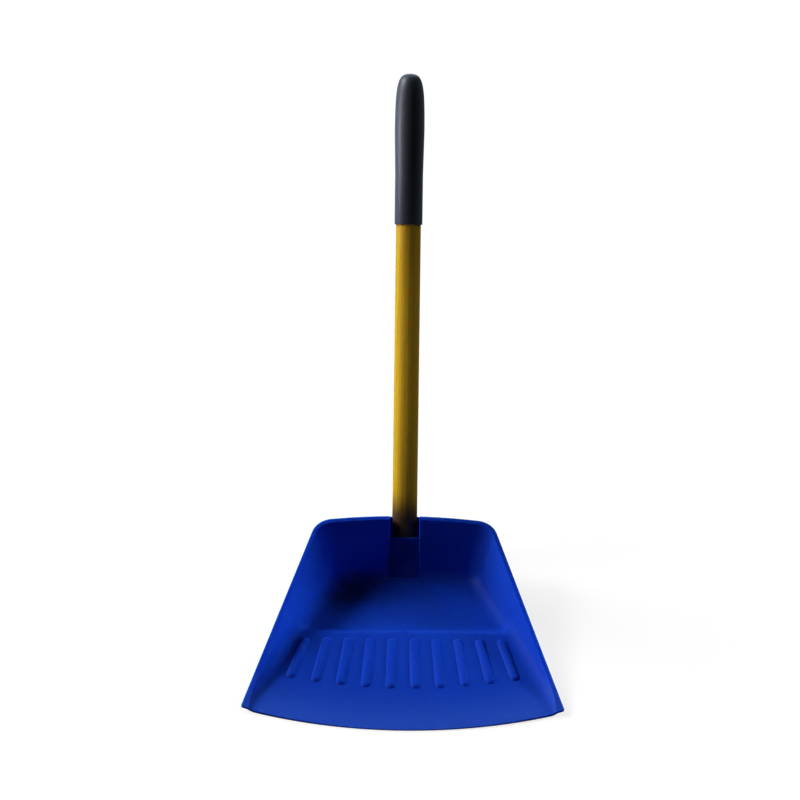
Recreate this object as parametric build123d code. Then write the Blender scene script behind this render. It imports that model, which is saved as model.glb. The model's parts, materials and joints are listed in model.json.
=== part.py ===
"""Dustpan with a push-in wooden handle: a ribbed plastic pan, a round stick and a soft grip.

Millimetres. +Z is up and +Y points from the lip to the back wall. The origin lies on the ground,
under the middle of the flat sole behind the ridge.
"""

import os
from math import atan, atan2, cos, radians, sin, tan

from build123d import *

# Pan: floor and walls
sole_to_wall = 45.0
floor_depth = 246.0
lip_bow = 28.0
floor_back_width = 143.0
floor_front_width = 299.0
back_bow = 6.5
back_height = 57.2
tip_height = 2.0
wall = 2.4
back_lean = 19.0
side_lean = 19.0
corner_radius = 20.0
floor_fillet = 14.0

# Pan: rim, ridge and lip
rim_width = 1.5
rim_thickness = 2.2
ridge_to_wall = 101.0
ridge_height = 6.0
ridge_run = 13.0
valley_radius = 28.0
crest_radius = 16.0
lip_thickness = 1.3
pocket_inset = 9.0

# Pan: ribs on the ramp and the moulding's gate mark
rib_count = 10
rib_width = 10.0
rib_height = 2.2
rib_to_ridge = 14.0
rib_pitch_back = 21.4
rib_fan_reach = 560.0
smooth_lip = 65.0
gate_width = 8.0
gate_height = 1.2

# Socket in the back wall
handle_lean = 30.0
socket_wall = 3.0
socket_clearance = 0.2
seat_clearance = 0.2
socket_band = 40.0
slot_width = 30.0

# Handle
stick_diameter = 25.0
stick_length = 458.0
stick_chamfer = 1.2
grip_length = 151.0
grip_depth = 125.0
grip_diameter = 28.0
grip_swell_diameter = 29.8
grip_swell_start = 50.0
grip_nose_length = 59.0
grip_nose_fullness = 0.78
grip_chamfer = 0.7
grip_clearance = 0.05

# Floor, walls and lip in plan and from the side
foot_y = sole_to_wall
lip_y = foot_y - floor_depth
tip_y = lip_y + lip_bow
lip_radius = ((floor_front_width / 2) ** 2 + lip_bow**2) / (2 * lip_bow)
side_slope = (floor_front_width - floor_back_width) / 2 / (tip_y - foot_y + back_bow)
side_cos = cos(atan(side_slope))
back_tan = tan(radians(back_lean))
side_tan = tan(radians(side_lean))
wall_across = wall / cos(radians(side_lean))
rim_y = foot_y + back_height * back_tan
rim_angle = atan2(back_height - tip_height, rim_y - tip_y)
ridge_y = foot_y - ridge_to_wall
ridge_z = wall + ridge_height
ramp_slope = (ridge_z - lip_thickness) / (ridge_y - lip_y)
rib_radius = (rib_width**2 / 4 + rib_height**2) / (2 * rib_height)
gate_radius = (gate_width**2 / 4 + gate_height**2) / (2 * gate_height)

# How far blocks that are cut away later run past the pan
spare = 40.0
tall = wall + back_height + spare
reach = 2 * (floor_front_width + floor_depth)
steepest_floor = 45.0

# The handle's axis leans back from the foot of the back wall, behind the socket's front plate
bore_radius = stick_diameter / 2 + socket_clearance
socket_radius = bore_radius + socket_wall
lean = radians(handle_lean)
handle_plane = Plane(
    (0, foot_y + socket_radius * cos(lean), wall - socket_radius * sin(lean)),
    x_dir=(1, 0, 0),
    z_dir=(0, sin(lean), cos(lean)),
)
mouth = (rim_y - foot_y) * sin(lean) + back_height * cos(lean)
seat = (2 * socket_wall - wall + (socket_radius + bore_radius) * sin(lean)) / cos(lean)


def plan(height, grow, ahead):
    """The pan's outline at one height: three sides lean outwards, grown by a wall or a rim."""
    back_y = foot_y - back_bow + (height - wall) * back_tan + grow
    front_y = lip_y - ahead
    side_out = ((height - wall) * side_tan + grow) / side_cos

    def half(y):
        return floor_back_width / 2 + side_slope * (y - foot_y + back_bow) + side_out

    back_left = (-half(back_y), back_y)
    back_right = (half(back_y), back_y)
    front_right = (half(front_y), front_y)
    front_left = (-half(front_y), front_y)
    edges = [
        ThreePointArc(back_left, (0, back_y + back_bow), back_right),
        Polyline(back_right, front_right, front_left, back_left),
    ]
    face = make_face(edges)
    corners = face.vertices().sort_by(Axis.Y)[-2:]
    return Pos(0, 0, height) * fillet(corners, corner_radius + grow)


def leaning_block(grow, below, ahead):
    """Everything inside the leaning walls, from below the floor to above the rim."""
    return loft([plan(-below, grow, ahead), plan(tall + below, grow, ahead)], ruled=True)


def rounded_foot(block, radius):
    """Rounds the edges where a block's walls meet its floor, leaving its open front sharp."""
    floors = [f for f in block.faces() if f.normal_at().Z < -cos(radians(steepest_floor))]
    rims = ShapeList()
    for face in floors:
        inner = [e for other in floors if other is not face for e in other.edges()]
        rims += [e for e in face.edges() if not any(e.is_same(shared) for shared in inner)]
    return fillet(rims.sort_by(Axis.Y)[1:], radius)


def slab(thickness, side):
    """A sheet much wider than the pan, lying on, under or across its plane."""
    return Box(reach, reach, thickness, align=(Align.CENTER, Align.CENTER, side))


def ramp_z(y):
    """Height of the ramp's face, which falls from the ridge to the lip."""
    return lip_thickness + ramp_slope * (y - lip_y)


def side_profile(drop):
    """Side view of the floor's upper face, lowered by drop, as a solid reaching far below."""
    behind_y = foot_y + 2 * spare
    ahead_y = lip_y - 3 * spare
    points = [
        (behind_y, wall - drop),
        (ridge_y + ridge_run, wall - drop),
        (ridge_y, ridge_z - drop),
        (ahead_y, ramp_z(ahead_y) - drop),
        (ahead_y, -spare),
        (behind_y, -spare),
    ]
    radii = [0, valley_radius, crest_radius, 0, 0, 0]
    face = make_face(FilletPolyline(*points, radius=radii, close=True))
    return extrude(Plane.YZ * face, amount=reach / 2, both=True)


def rib_start(place):
    """Plane at a rib's back end, looking along the rib, and its length; the ribs fan out and end
    short of the lip's curve. The axis lies under the ramp, so only a round back shows."""
    back_y = ridge_y - rib_to_ridge
    back_x = place * rib_pitch_back
    front_x = back_x * (1 + (back_y - lip_y - smooth_lip) / rib_fan_reach)
    front_y = lip_y + smooth_lip + front_x**2 / (2 * lip_radius)
    sunk = rib_radius - rib_height
    back = Vector(back_x, back_y, ramp_z(back_y) - sunk)
    front = Vector(front_x, front_y, ramp_z(front_y) - sunk)
    return Plane(back, z_dir=front - back), (front - back).length


def ball_ended(radius, length):
    """A round bar along Z with a ball on each end."""
    outline = [
        JernArc((0, -radius), (1, 0), radius, 90),
        Line((radius, 0), (radius, length)),
        JernArc((radius, length), (0, 1), radius, 90),
        Line((0, length + radius), (0, -radius)),
    ]
    return revolve(Plane.XZ * make_face(outline), Axis.Z)


def along(shape, start):
    """Stands a shape on the handle's axis, start millimetres up from the foot of the wall."""
    return handle_plane * Pos(0, 0, start) * shape


def upright(radius, length):
    return Cylinder(radius, length, align=(Align.CENTER, Align.CENTER, Align.MIN))


def socket_outside():
    """The socket's round back and its two cheeks, reaching forwards into the leaning wall."""
    width = slot_width + 2 * socket_wall
    cheeks = Box(width, spare, mouth + spare, align=(Align.CENTER, Align.MAX, Align.MIN))
    return along(upright(socket_radius, mouth + spare) + cheeks, -spare)


def socket_inside():
    """The bore, the slot that shows the stick above the front plate, and the core under the seat."""
    cut = along(upright(bore_radius, tall), seat)
    cut += along(upright(bore_radius, seat - socket_wall + spare), -spare)
    forward = Box(slot_width, spare, tall, align=(Align.CENTER, Align.MAX, Align.MIN))
    cut += along(Pos(0, -socket_radius, 0) * forward, 0)
    cut += along(forward, socket_band)
    return cut


def make_pan():
    """One moulding: leaning walls round an open floor, ridge, ribbed ramp, rim and handle socket."""
    rim_plane = Plane(
        (0, tip_y, wall + tip_height), x_dir=(1, 0, 0), z_dir=(0, -sin(rim_angle), cos(rim_angle))
    )
    shell = rounded_foot(leaning_block(wall_across, 0, spare), floor_fillet + wall)
    flange = leaning_block(wall_across + rim_width, 0, spare)
    shell += flange & (rim_plane * slab(rim_thickness, Align.MAX))
    shell += socket_outside()
    shell -= rounded_foot(leaning_block(0, spare, 2 * spare) - side_profile(0), floor_fillet)

    ribs = [rib_start(i - (rib_count - 1) / 2) for i in range(rib_count)]
    for start, length in ribs:
        shell += start * ball_ended(rib_radius, length)
    crest_turn = atan(ridge_height / ridge_run) + atan(ramp_slope)
    crest_z = ridge_z - crest_radius * (1 / cos(crest_turn / 2) - 1)
    shell += Pos(0, ridge_y, crest_z + gate_height - gate_radius) * Sphere(gate_radius)

    hollow = side_profile(wall) & extrude(plan(0, -pocket_inset, spare), amount=tall)
    sole = Pos(0, ridge_y + ridge_run, 0) * Box(
        reach, reach, 2 * tall, align=(Align.CENTER, Align.MIN, Align.CENTER)
    )
    shell -= hollow - sole
    for start, length in ribs:
        shell -= start * upright(rib_radius - wall, length)

    shell -= socket_inside()
    shell -= rim_plane * slab(tall, Align.MIN) - side_profile(0)
    shell -= slab(tall, Align.MAX)
    return shell & Pos(0, lip_y + lip_radius, 0) * Cylinder(lip_radius, 2 * tall)


def make_stick():
    """A turned round stick with broken edges, standing on the socket's seat."""
    stick = upright(stick_diameter / 2, stick_length)
    ends = stick.edges().filter_by(GeomType.CIRCLE)
    return along(chamfer(ends, stick_chamfer), seat + seat_clearance)


def make_grip():
    """A closed sleeve on the stick's top end: plain below, swelling to a rounded nose."""
    bore = stick_diameter / 2 + grip_clearance
    plain = grip_diameter / 2
    full = grip_swell_diameter / 2
    nose = grip_length - grip_nose_length
    outline = [
        Polyline((0, grip_length), (0, grip_depth), (bore, grip_depth), (bore, 0), (plain, 0)),
        Line((plain, 0), (plain, grip_swell_start)),
        Spline((plain, grip_swell_start), (full, nose), tangents=[(0, 1), (0, 1)]),
        Bezier(
            (full, nose),
            (full, nose + grip_nose_fullness * grip_nose_length),
            (grip_nose_fullness * full, grip_length),
            (0, grip_length),
        ),
    ]
    sleeve = revolve(Plane.XZ * make_face(outline), Axis.Z)
    low_edges = sleeve.edges().filter_by(GeomType.CIRCLE).group_by(Axis.Z)[0]
    sleeve = chamfer(low_edges.sort_by(SortBy.RADIUS)[-1], grip_chamfer)
    return along(sleeve, seat + seat_clearance + stick_length - grip_depth)


os.makedirs("parts", exist_ok=True)
export_step(make_pan(), "parts/pan.step")
export_step(make_stick(), "parts/handle_stick.step")
export_step(make_grip(), "parts/handle_grip.step")
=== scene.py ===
"""Looks of a dustpan with a push-in wooden handle, in metres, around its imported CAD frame.

+Z is up, +Y points from the lip to the back wall, and the origin is on the floor under the pan.
Patterns in the materials are in millimetres, apart from the start points of their axes and the depths
of their relief.
"""

import json
from math import atan2, cos, radians, sin

import bpy
from mathutils import Matrix, Vector


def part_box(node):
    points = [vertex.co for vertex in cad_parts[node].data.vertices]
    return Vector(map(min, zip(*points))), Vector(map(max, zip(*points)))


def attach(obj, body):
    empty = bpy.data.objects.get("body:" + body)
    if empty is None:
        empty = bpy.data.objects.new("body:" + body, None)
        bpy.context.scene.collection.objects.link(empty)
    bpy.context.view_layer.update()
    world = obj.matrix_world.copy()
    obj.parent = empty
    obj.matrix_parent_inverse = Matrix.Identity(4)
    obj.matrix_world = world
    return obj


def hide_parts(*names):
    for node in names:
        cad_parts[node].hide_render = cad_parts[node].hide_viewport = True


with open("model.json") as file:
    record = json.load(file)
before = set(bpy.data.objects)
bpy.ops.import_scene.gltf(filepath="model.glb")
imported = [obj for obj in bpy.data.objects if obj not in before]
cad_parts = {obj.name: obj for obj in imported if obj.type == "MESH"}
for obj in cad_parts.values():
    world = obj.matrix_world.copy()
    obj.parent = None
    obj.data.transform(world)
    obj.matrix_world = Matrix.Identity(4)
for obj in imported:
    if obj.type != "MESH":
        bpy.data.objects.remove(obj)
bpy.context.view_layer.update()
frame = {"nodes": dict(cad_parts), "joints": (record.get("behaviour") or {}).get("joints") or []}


# Pan: one injection moulding in deep blue polypropylene, with the ribs, the rim and the handle's
# socket in the same shot. The tool's fine spark finish leaves it satin, the plastic has flowed out
# from the gate on the ridge, and brooms and floors rub hairlines into the ramp and the lip.

def node(tree, kind, inputs=None, **options):
    """Adds a node and fills its inputs with values or with other nodes' outputs."""
    made = tree.nodes.new(kind)
    for name, value in options.items():
        setattr(made, name, value)
    for name, value in (inputs or {}).items():
        if isinstance(value, bpy.types.NodeSocket):
            tree.links.new(value, made.inputs[name])
        else:
            made.inputs[name].default_value = value
    return made


def reckon(tree, operation, *values):
    """One step of arithmetic on numbers."""
    return node(tree, "ShaderNodeMath", dict(enumerate(values)), operation=operation).outputs[0]


def move(tree, operation, *vectors):
    """One step of arithmetic on vectors; its result is a vector."""
    return node(tree, "ShaderNodeVectorMath", dict(enumerate(vectors)), operation=operation).outputs[0]


def length(tree, vector):
    """How long a vector is."""
    return node(tree, "ShaderNodeVectorMath", {0: vector}, operation="LENGTH").outputs["Value"]


def fade(tree, value, start, end):
    """A mask that runs softly from 0 to 1 while a value goes from start to end."""
    limits = {"Value": value, "From Min": start, "From Max": end}
    return node(tree, "ShaderNodeMapRange", limits, interpolation_type="SMOOTHSTEP").outputs[0]


def between(tree, mask, low, high):
    """A number that runs from low to high with a mask."""
    limits = {"Value": mask, "To Min": low, "To Max": high}
    return node(tree, "ShaderNodeMapRange", limits).outputs[0]


def tint(tree, mask, first, second):
    """A colour that runs from first to second with a mask."""
    # The node's colour sockets share their names with its number sockets, so they go by number.
    inputs = {0: mask, 6: first, 7: second}
    return node(tree, "ShaderNodeMix", inputs, data_type="RGBA").outputs[2]


def noise(tree, vector, scale, detail=2.0):
    """Soft noise with scale lumps to each unit of its vector."""
    inputs = {"Vector": vector, "Scale": scale, "Detail": detail}
    return node(tree, "ShaderNodeTexNoise", inputs).outputs[0]


def own_millimetres(tree, start=(0, 0, 0), turn=(0, 0, 0)):
    """The piece's own coordinates in millimetres, from a start point and along turned axes."""
    millimetre = 0.001
    own = node(tree, "ShaderNodeTexCoord").outputs["Object"]
    place = {"Vector": own, "Location": start, "Rotation": turn, "Scale": (millimetre,) * 3}
    return node(tree, "ShaderNodeMapping", place, vector_type="TEXTURE").outputs[0]


def effect(name, sizes, results):
    """An empty shader group with a Vector input, named number inputs and number outputs."""
    tree = bpy.data.node_groups.new(name, "ShaderNodeTree")
    tree.interface.new_socket("Vector", in_out="INPUT", socket_type="NodeSocketVector")
    for label, value in sizes.items():
        socket = tree.interface.new_socket(label, in_out="INPUT", socket_type="NodeSocketFloat")
        socket.default_value = value
    for label in results:
        tree.interface.new_socket(label, in_out="OUTPUT", socket_type="NodeSocketFloat")
    return tree, tree.nodes.new("NodeGroupInput").outputs, tree.nodes.new("NodeGroupOutput").inputs


def use(tree, group, **inputs):
    """A shared effect placed in a material with its own values."""
    return node(tree, "ShaderNodeGroup", inputs, node_tree=group).outputs


def finish_shader(material, colour, roughness, height, depth):
    """Joins a material's colour, roughness and relief, which is depth metres deep, to its shader."""
    tree = material.node_tree
    shader = tree.nodes["Principled BSDF"]
    relief = node(tree, "ShaderNodeBump", {"Height": height, "Strength": 1.0, "Distance": depth})
    tree.links.new(colour, shader.inputs["Base Color"])
    tree.links.new(roughness, shader.inputs["Roughness"])
    tree.links.new(relief.outputs[0], shader.inputs["Normal"])
    return shader


def new_material(name):
    """An empty node material."""
    material = bpy.data.materials.new(name)
    material.use_nodes = True
    return material


def wear(obj, material):
    """Puts a material on a carried-over CAD node."""
    obj.data.materials.clear()
    obj.data.materials.append(material)


# Fine grain of a moulding tool: pin-fine relief, and slow patches of a slightly different gloss.
grains_across_patch = 50
gloss_patch_detail = 3

tool_grain, given, result = effect("tool_grain", {"Size": 0.8}, ("Height", "Patches"))
fine_scale = reckon(tool_grain, "DIVIDE", 1, given["Size"])
slow_scale = reckon(tool_grain, "DIVIDE", 1 / grains_across_patch, given["Size"])
patches = noise(tool_grain, given["Vector"], slow_scale, gloss_patch_detail)
tool_grain.links.new(noise(tool_grain, given["Vector"], fine_scale), result["Height"])
tool_grain.links.new(patches, result["Patches"])

# Hairlines: thin rubbed lines along the vector's Y, gathered in patches.
hairline_sizes = {"Spacing": 0.6, "Length": 40.0, "Share": 0.4}
streak_detail = 3
rubbed_patch_detail = 1
line_starts, line_full = 0.56, 0.72
patch_starts, patch_full = -0.1, 0.2

hairlines, given, result = effect("hairlines", hairline_sizes, ("Mask",))
across = reckon(hairlines, "DIVIDE", 1, given["Spacing"])
lengthwise = reckon(hairlines, "DIVIDE", 1, given["Length"])
squeeze = node(hairlines, "ShaderNodeCombineXYZ", {0: across, 1: lengthwise, 2: across}).outputs[0]
streak = noise(hairlines, move(hairlines, "MULTIPLY", given["Vector"], squeeze), 1, streak_detail)
line = fade(hairlines, streak, line_starts, line_full)
patch = noise(hairlines, given["Vector"], lengthwise, rubbed_patch_detail)
bare = reckon(hairlines, "SUBTRACT", 1, given["Share"])
soft = fade(hairlines, reckon(hairlines, "SUBTRACT", patch, bare), patch_starts, patch_full)
hairlines.links.new(reckon(hairlines, "MULTIPLY", line, soft), result["Mask"])

deep_blue = (0.0042, 0.040, 0.42, 1)
dull_blue = (0.0048, 0.034, 0.36, 1)
# Paler blue for rubbed wear, also used as painted light on the strip behind the lip.
rubbed_and_lit_blue = (0.030, 0.105, 0.56, 1)
# Near-black blue for the painted shadow by the left wall.
painted_shadow_blue = (0.0015, 0.006, 0.05, 1)
plastic_smooth, plastic_rough = 0.42, 0.54
plastic_relief = 0.00002

plastic = new_material("moulded_blue_plastic")
tree = plastic.node_tree
own = own_millimetres(tree)
grain = use(tree, tool_grain, Vector=own, Size=0.9)

# The plastic's flow shows as faint rays about the gate.
gate = (0, -56, 8)
flow_rays = 14
from_gate = move(tree, "NORMALIZE", move(tree, "SUBTRACT", own, gate))
rays = noise(tree, from_gate, flow_rays)

# Hairlines lie mostly on the ramp, from a little behind the gate to well ahead of it.
ramp_starts = gate[1] + 20
ramp_full = gate[1] - 40
floor_scuffs, ramp_scuffs = 0.25, 0.8
scuff_depth = 0.6
rubbed = use(tree, hairlines, Vector=own, Spacing=0.7, Length=45, Share=0.45)["Mask"]
along = node(tree, "ShaderNodeSeparateXYZ", {0: own}).outputs["Y"]
on_ramp = fade(tree, along, ramp_starts, ramp_full)
scuffed = reckon(tree, "MULTIPLY", rubbed, between(tree, on_ramp, floor_scuffs, ramp_scuffs))

# The lip drags on the floor, so its edge pales in spots. The strip behind it is painted lighter: painted
# light on the front of the floor, which the walls shade less.
lip_radius = 413
lip_front = 1000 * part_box("pan")[0][1]
edge_width = 5
edge_lumps = 0.3
edge_detail = 4
painted_light_width = 62
painted_light_past_edge = 8
flat = move(tree, "MULTIPLY", own, (1, 1, 0))
reach = length(tree, move(tree, "SUBTRACT", flat, (0, lip_front + lip_radius, 0)))
at_edge = fade(tree, reach, lip_radius - edge_width, lip_radius)
worn_edge = reckon(tree, "MULTIPLY", at_edge, noise(tree, own, edge_lumps, edge_detail))
# Painted light: a soft lighter strip behind the lip.
painted_light_strip = fade(tree, reach, lip_radius - painted_light_width, lip_radius + painted_light_past_edge)
worn_edge_and_painted_light = reckon(tree, "MAXIMUM", worn_edge, painted_light_strip)

# A painted shadow: the floor is darkened along the foot of the left wall, towards the back, where the left
# and back walls shade it.
painted_shadow_middle = (-0.054, 0.014, 0.002)
painted_shadow_turn = radians(-35)
painted_shadow_width = 26
painted_shadow_length = 46
painted_shadow_core = 2
painted_shadow_raggedness = 8
painted_shadow_lumps = 0.12
painted_shadow_detail = 3
painted_shadow_strength = 0.75
painted_shadow = own_millimetres(tree, painted_shadow_middle, (0, 0, painted_shadow_turn))
painted_shadow = move(tree, "MULTIPLY", painted_shadow, (1, painted_shadow_width / painted_shadow_length, 1))
painted_shadow_wobble = between(tree, noise(tree, own, painted_shadow_lumps, painted_shadow_detail), -painted_shadow_raggedness, painted_shadow_raggedness)
off_painted_shadow = reckon(tree, "ADD", length(tree, painted_shadow), painted_shadow_wobble)
painted_shadow_mask = reckon(tree, "MULTIPLY", fade(tree, off_painted_shadow, painted_shadow_width, painted_shadow_core), painted_shadow_strength)

scuff_paling = 0.35
lip_wear_and_light_paling = 0.5
pale_roughness = 0.2
pale_scuffs = reckon(tree, "MULTIPLY", scuffed, scuff_paling)
lip_wear_and_painted_light = reckon(tree, "MULTIPLY", worn_edge_and_painted_light, lip_wear_and_light_paling)
wear_and_painted_light = reckon(tree, "MAXIMUM", pale_scuffs, lip_wear_and_painted_light)
colour = tint(tree, reckon(tree, "MULTIPLY", grain["Patches"], rays), deep_blue, dull_blue)
# Scuffs and the worn lip edge pale the blue, and the strip behind the lip is lighter as painted light.
colour = tint(tree, wear_and_painted_light, colour, rubbed_and_lit_blue)
# The painted shadow by the left wall darkens the floor's blue.
colour = tint(tree, painted_shadow_mask, colour, painted_shadow_blue)
gloss = between(tree, grain["Patches"], plastic_smooth, plastic_rough)
gloss = reckon(tree, "ADD", gloss, reckon(tree, "MULTIPLY", wear_and_painted_light, pale_roughness))
relief = reckon(tree, "ADD", grain["Height"], reckon(tree, "MULTIPLY", scuffed, -scuff_depth))
shader = finish_shader(plastic, colour, gloss, relief, plastic_relief)
shader.inputs["IOR"].default_value = 1.49
shader.inputs["Specular IOR Level"].default_value = 0.07
shader.inputs["Subsurface Weight"].default_value = 1.0
shader.inputs["Subsurface Radius"].default_value = (0.25, 0.55, 1.0)
shader.inputs["Subsurface Scale"].default_value = 0.006
wear(frame["nodes"]["pan"], plastic)


# Handle stick: a round softwood dowel, turned smooth, stained yellow and dipped in thin varnish.
# It is only pushed into the pan's socket, and slides out along its own axis.

stick_radius = 0.0125
stick_rounding = 0.0012
low, high = (Vector(corner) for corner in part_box("handle_stick"))
handle_axis = Vector(frame["joints"][0]["axis"]).normalized()
lean = atan2(handle_axis.y, handle_axis.z)
stick_length = (high.z - low.z - 2 * (stick_radius - stick_rounding) * sin(lean)) / cos(lean)
stick_top = (low + high) / 2 + handle_axis * stick_length / 2
stick_foot = stick_top - handle_axis * stick_length


def turning_tree():
    """Geometry nodes of a lathe: an outline beside the axis is rounded, spun and leaned."""
    spindle = 0.001
    rounding_steps = 6
    same_point = 1e-6
    tree = bpy.data.node_groups.new("turned_on_a_lathe", "GeometryNodeTree")
    socket = tree.interface.new_socket
    socket("Outline", in_out="INPUT", socket_type="NodeSocketGeometry")
    socket("Sides", in_out="INPUT", socket_type="NodeSocketInt")
    socket("Lean", in_out="INPUT", socket_type="NodeSocketVector")
    socket("Top", in_out="INPUT", socket_type="NodeSocketVector")
    socket("Material", in_out="INPUT", socket_type="NodeSocketMaterial")
    socket("Piece", in_out="OUTPUT", socket_type="NodeSocketGeometry")
    given = tree.nodes.new("NodeGroupInput").outputs
    rounding = node(tree, "GeometryNodeInputNamedAttribute", {"Name": "rounding"}).outputs["Attribute"]
    outline = node(tree, "GeometryNodeMeshToCurve", {"Mesh": given["Outline"]}).outputs[0]
    corners = {"Curve": outline, "Radius": rounding, "Limit Radius": True, "Count": rounding_steps}
    outline = node(tree, "GeometryNodeFilletCurve", corners, mode="POLY").outputs[0]
    beside = {"Geometry": outline, "Translation": (-spindle, 0, 0)}
    outline = node(tree, "GeometryNodeTransform", beside).outputs[0]
    turn = {"Resolution": given["Sides"], "Radius": spindle}
    circle = node(tree, "GeometryNodeCurvePrimitiveCircle", turn).outputs["Curve"]
    spun = node(tree, "GeometryNodeCurveToMesh", {"Curve": circle, "Profile Curve": outline}).outputs[0]
    joined = {"Geometry": spun, "Distance": same_point}
    closed = node(tree, "GeometryNodeMergeByDistance", joined).outputs[0]
    smooth = node(tree, "GeometryNodeSetShadeSmooth", {"Geometry": closed}).outputs[0]
    place = {"Geometry": smooth, "Rotation": given["Lean"], "Translation": given["Top"]}
    leaned = node(tree, "GeometryNodeTransform", place).outputs[0]
    real = node(tree, "GeometryNodeRealizeInstances", {"Geometry": leaned}).outputs[0]
    dressed = {"Geometry": real, "Material": given["Material"]}
    dressed = node(tree, "GeometryNodeSetMaterial", dressed).outputs[0]
    tree.links.new(dressed, tree.nodes.new("NodeGroupOutput").inputs["Piece"])
    return tree


def turned_piece(name, outline, top, material, sides=96):
    """Spins an outline of (radius, depth under the top, corner rounding) about the handle's axis."""
    mesh = bpy.data.meshes.new(name)
    edges = [(i, i + 1) for i in range(len(outline) - 1)]
    mesh.from_pydata([(radius, depth, 0) for radius, depth, rounding in outline], edges, [])
    mesh.attributes.new("rounding", "FLOAT", "POINT")
    for entry, (radius, depth, rounding) in zip(mesh.attributes["rounding"].data, outline):
        entry.value = rounding
    draft = bpy.data.objects.new(name + "_outline", mesh)
    bpy.context.scene.collection.objects.link(draft)
    lathe = draft.modifiers.new("lathe", "NODES")
    lathe.node_group = bpy.data.node_groups.get("turned_on_a_lathe") or turning_tree()
    values = {"Sides": sides, "Lean": (-lean, 0, 0), "Top": tuple(top), "Material": material}
    for entry in lathe.node_group.interface.items_tree:
        if entry.name in values:
            lathe[entry.identifier] = values[entry.name]
    bpy.context.view_layer.update()
    ready = draft.evaluated_get(bpy.context.evaluated_depsgraph_get())
    piece = bpy.data.objects.new(name, bpy.data.meshes.new_from_object(ready))
    bpy.context.scene.collection.objects.link(piece)
    bpy.data.objects.remove(draft)
    return piece


early_wood = (0.69, 0.455, 0.020, 1)
late_wood = (0.50, 0.275, 0.010, 1)
darker_foot_wood = (0.075, 0.042, 0.012, 1)
varnish_smooth, varnish_rough = 0.30, 0.55
wood_relief = 0.00004

wood = new_material("yellow_varnished_softwood")
tree = wood.node_tree
own = own_millimetres(tree, stick_foot, (-lean, 0, 0))

# The dowel is sawn beside the pith, so its year rings run along it as bands that wander a little.
pith = (41, -24, 0)
ring_width = 2.8
ring_wander = 5
wander_lumps = 0.12
wander_stretch = 0.02
wood_stretch = 0.012
late_starts, late_full = 0.25, 0.9
ring_ends, ring_closes = 1.0, 0.92
late_share = 0.55
late_height = 0.4
drawn_out = move(tree, "MULTIPLY", own, (1, 1, wander_stretch))
stretched = move(tree, "MULTIPLY", own, (1, 1, wood_stretch))
wander = between(tree, noise(tree, drawn_out, wander_lumps), -ring_wander, ring_wander)
depth = reckon(tree, "ADD", length(tree, move(tree, "SUBTRACT", stretched, pith)), wander)
ring = reckon(tree, "FRACT", reckon(tree, "DIVIDE", depth, ring_width))
darkening = fade(tree, ring, late_starts, late_full)
late = reckon(tree, "MULTIPLY", darkening, fade(tree, ring, ring_ends, ring_closes))

# Fibres run the whole way along it.
fibre_lumps = 3.2
fibre_detail = 3
fibre_starts, fibre_full = 0.5, 0.8
fibre = noise(tree, stretched, fibre_lumps, fibre_detail)

# Its foot is darker where it sits in the socket and just above.
darker_foot_full = 36
darker_foot_ends = 70
darker_foot_raggedness = 12
darker_foot_lumps = 0.25
darker_foot_detail = 4
up_stick = node(tree, "ShaderNodeSeparateXYZ", {0: own}).outputs["Z"]
darker_foot_noise = noise(tree, drawn_out, darker_foot_lumps, darker_foot_detail)
darker_foot_edge = reckon(tree, "ADD", up_stick, between(tree, darker_foot_noise, -darker_foot_raggedness, darker_foot_raggedness))
darker_foot = fade(tree, darker_foot_edge, darker_foot_ends, darker_foot_full)

colour = tint(tree, reckon(tree, "MULTIPLY", late, late_share), early_wood, late_wood)
colour = tint(tree, fade(tree, fibre, fibre_starts, fibre_full), colour, late_wood)
# The wood runs darker towards the foot.
colour = tint(tree, darker_foot, colour, darker_foot_wood)
gloss = between(tree, fibre, varnish_smooth, varnish_rough)
relief = reckon(tree, "ADD", reckon(tree, "MULTIPLY", late, late_height), fibre)
shader = finish_shader(wood, colour, gloss, relief, wood_relief)
shader.inputs["Subsurface Weight"].default_value = 0.8
shader.inputs["Subsurface Radius"].default_value = (1.0, 0.42, 0.1)
shader.inputs["Subsurface Scale"].default_value = 0.008
shader.inputs["Coat Weight"].default_value = 0.15
shader.inputs["Coat Roughness"].default_value = 0.22

outline = [
    (0, 0, 0),
    (stick_radius, 0, stick_rounding),
    (stick_radius, stick_length, stick_rounding),
    (0, stick_length, 0),
]
stick = turned_piece("stick", outline, stick_top, wood)
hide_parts("handle_stick")
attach(stick, "handle")


# Handle grip: a dipped sleeve of soft black vinyl with a closed rounded nose, stretched over the
# stick's top end. The dip leaves a smooth satin skin, with some dust and rubbed lines along it.

grip_length = 0.151
grip_depth = 0.125
grip_bore = 0.01255
grip_radius = 0.014
grip_full_radius = 0.0149
grip_swell = 0.050
grip_nose = 0.059
grip_fullness = 0.86
grip_rounding = 0.0007
grip_top = stick_top + handle_axis * (grip_length - grip_depth)
skin_black = (0.020, 0.026, 0.046, 1)
dusty_black = (0.042, 0.050, 0.074, 1)
skin_smooth, skin_rough = 0.38, 0.54
skin_relief = 0.00003
dust_starts, dust_full = 0.45, 0.7
dust_share = 0.35
rubbed_share = 0.3
rubbed_depth = 0.3

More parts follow.
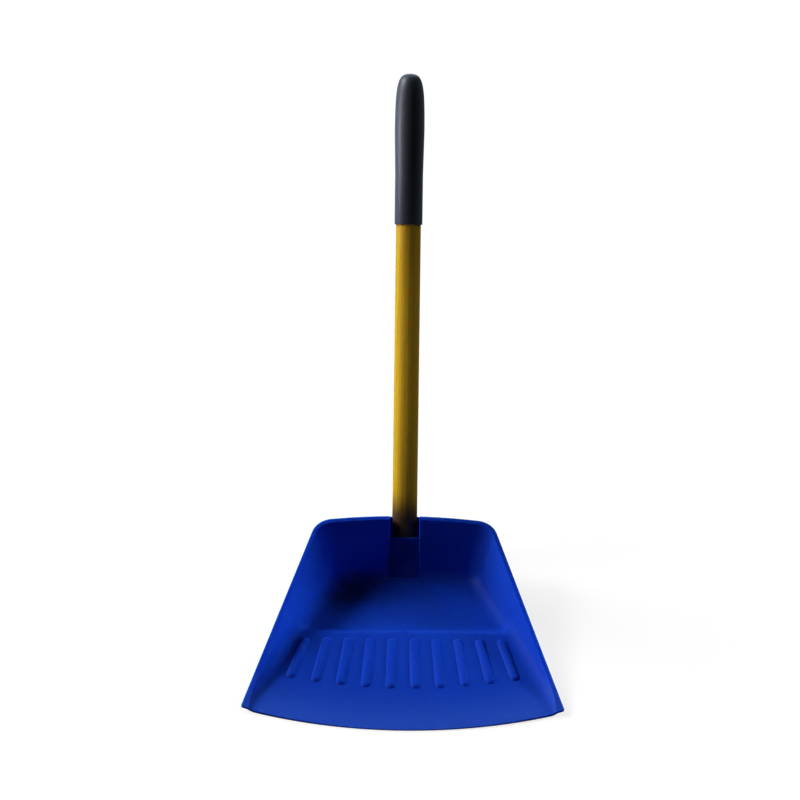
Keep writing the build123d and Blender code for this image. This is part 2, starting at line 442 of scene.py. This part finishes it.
vinyl = new_material("soft_black_vinyl")
tree = vinyl.node_tree
own = own_millimetres(tree, grip_top, (-lean, 0, 0))
grain = use(tree, tool_grain, Vector=own, Size=0.5)
x, y, z = node(tree, "ShaderNodeSeparateXYZ", {0: own}).outputs
lengthwise = node(tree, "ShaderNodeCombineXYZ", {0: x, 1: z, 2: y}).outputs[0]
rubbed = use(tree, hairlines, Vector=lengthwise, Spacing=0.5, Length=14, Share=0.4)["Mask"]
dusty = reckon(tree, "MULTIPLY", fade(tree, grain["Patches"], dust_starts, dust_full), dust_share)
dusty = reckon(tree, "MAXIMUM", dusty, reckon(tree, "MULTIPLY", rubbed, rubbed_share))
colour = tint(tree, dusty, skin_black, dusty_black)
gloss = between(tree, grain["Patches"], skin_smooth, skin_rough)
relief = reckon(tree, "SUBTRACT", grain["Height"], reckon(tree, "MULTIPLY", rubbed, rubbed_depth))
shader = finish_shader(vinyl, colour, gloss, relief, skin_relief)
shader.inputs["Specular IOR Level"].default_value = 0.9
shader.inputs["Sheen Weight"].default_value = 0.5
shader.inputs["Sheen Roughness"].default_value = 0.5
shader.inputs["Sheen Tint"].default_value = (0.66, 0.80, 1.0, 1)

# The nose is a cubic curve from the tip, square to the axis, to the full radius, along the axis.
outline = []
nose_steps = 24
for step in range(nose_steps + 1):
    t = step / nose_steps
    ahead = 3 * t * (1 - t) ** 2
    after = 3 * t**2 * (1 - t)
    radius = grip_full_radius * (grip_fullness * ahead + after + t**3)
    depth = grip_nose * ((1 - grip_fullness) * after + t**3)
    outline.append((radius, depth, 0))
outline += [
    (grip_radius, grip_length - grip_swell, 0),
    (grip_radius, grip_length, grip_rounding),
    (grip_bore, grip_length, 0),
    (grip_bore, grip_length - grip_depth, 0),
    (0, grip_length - grip_depth, 0),
]
grip = turned_piece("grip", outline, grip_top, vinyl)
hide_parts("handle_grip")
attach(grip, "handle")


# Table, light and camera: a plain white table that glows evenly and throws no light on the object. Five
# broad lamps stand low on the left, behind and on the right, with a small card at the front right, a
# narrow lamp each for the stick and the grip, and a faint even fill. A long lens looks down from the front.

white = new_material("white_table")
shader = white.node_tree.nodes["Principled BSDF"]
shader.inputs["Base Color"].default_value = (0.25, 0.25, 0.25, 1)
shader.inputs["Roughness"].default_value = 0.9
shader.inputs["Emission Color"].default_value = (1, 1, 1, 1)
shader.inputs["Emission Strength"].default_value = 0.79

half_table = 10
table_top = -0.0002
ways = [(-1, -1), (1, -1), (1, 1), (-1, 1)]
corners = [(half_table * across, half_table * back, table_top) for across, back in ways]
table_mesh = bpy.data.meshes.new("table")
table_mesh.from_pydata(corners, [], [(0, 1, 2, 3)])
table_mesh.materials.append(white)
table = bpy.data.objects.new("table", table_mesh)
table.visible_diffuse = False
table.visible_glossy = False
table.visible_transmission = False
bpy.context.scene.collection.objects.link(table)

world = bpy.data.worlds.new("studio")
bpy.context.scene.world = world
world.use_nodes = True
fill = world.node_tree.nodes["Background"]
fill.inputs["Color"].default_value = (1, 1, 1, 1)
fill.inputs["Strength"].default_value = 0.03


def hang(light, place, direction, reflects):
    """Puts a lamp in the scene, shining in a direction; it makes highlights only if it reflects."""
    lamp = bpy.data.objects.new(light.name, light)
    bpy.context.scene.collection.objects.link(lamp)
    lamp.location = place
    lamp.rotation_euler = Vector(direction).to_track_quat("-Z", "Y").to_euler()
    lamp.visible_glossy = reflects


def sun(name, around, above, energy, reflects=False):
    """A broad far lamp, placed by degrees around from the back to the left and above the table."""
    spread = radians(20)
    light = bpy.data.lights.new(name, "SUN")
    light.energy = energy
    light.angle = spread
    turn, lift = radians(around), radians(above)
    towards = Vector((-sin(turn) * cos(lift), cos(turn) * cos(lift), sin(lift)))
    hang(light, (0, 0, 0), -towards, reflects)


def spot(name, place, aim, energy, cone, reflects=False):
    """A narrow lamp with a soft edge, for one piece alone; its cone is in degrees."""
    light = bpy.data.lights.new(name, "SPOT")
    light.energy = energy
    light.spot_size = radians(cone)
    light.spot_blend = 0.7
    light.shadow_soft_size = 0.08
    hang(light, place, Vector(aim) - Vector(place), reflects)


sun("left", 78, 33, 1.75, reflects=True)
sun("back_left", 45, 32, 1.9)
sun("low_left", 66, 12, 1.8)
sun("back", -20, 22, 0.4)
sun("right", -50, 22, 0.8)

card_place = Vector((0.49, -0.175, 0.134))
card_aim = Vector((-0.11, -0.06, 0.03))
card = bpy.data.lights.new("card", "AREA")
card.shape = "DISK"
card.size = 0.1
card.energy = 0.065
card.spread = radians(26)
hang(card, card_place, card_aim - card_place, False)

spot("stick_front", (-0.62, -0.5, 0.62), (0, 0.154, 0.186), energy=8, cone=19)
spot("grip_left", (-0.98, 0.22, 0.40), (0, 0.283, 0.388), energy=12, cone=10, reflects=True)

elevation = radians(35.8)
distance = 3.5
pan_middle = Vector((0, -0.015, 0.020))
picture_middle = Vector((-0.0066, 0.1328, 0.1576))
camera_roll = radians(0.76)
camera_turn = radians(-0.16)

camera = bpy.data.cameras.new("camera")
camera.sensor_width = 36
camera.lens = 159.4
camera.clip_end = 50
view = bpy.data.objects.new("camera", camera)
bpy.context.scene.collection.objects.link(view)
bpy.context.scene.camera = view
eye = pan_middle + distance * Vector((0, -cos(elevation), sin(elevation)))
sight = (picture_middle - eye).to_track_quat("-Z", "Y").to_matrix().to_4x4()
roll = Matrix.Rotation(camera_roll, 4, "Z")
turn = Matrix.Rotation(camera_turn, 4, "Z")
view.matrix_world = turn @ Matrix.Translation(eye) @ sight @ roll
bpy.context.scene.view_settings.view_transform = "Standard"
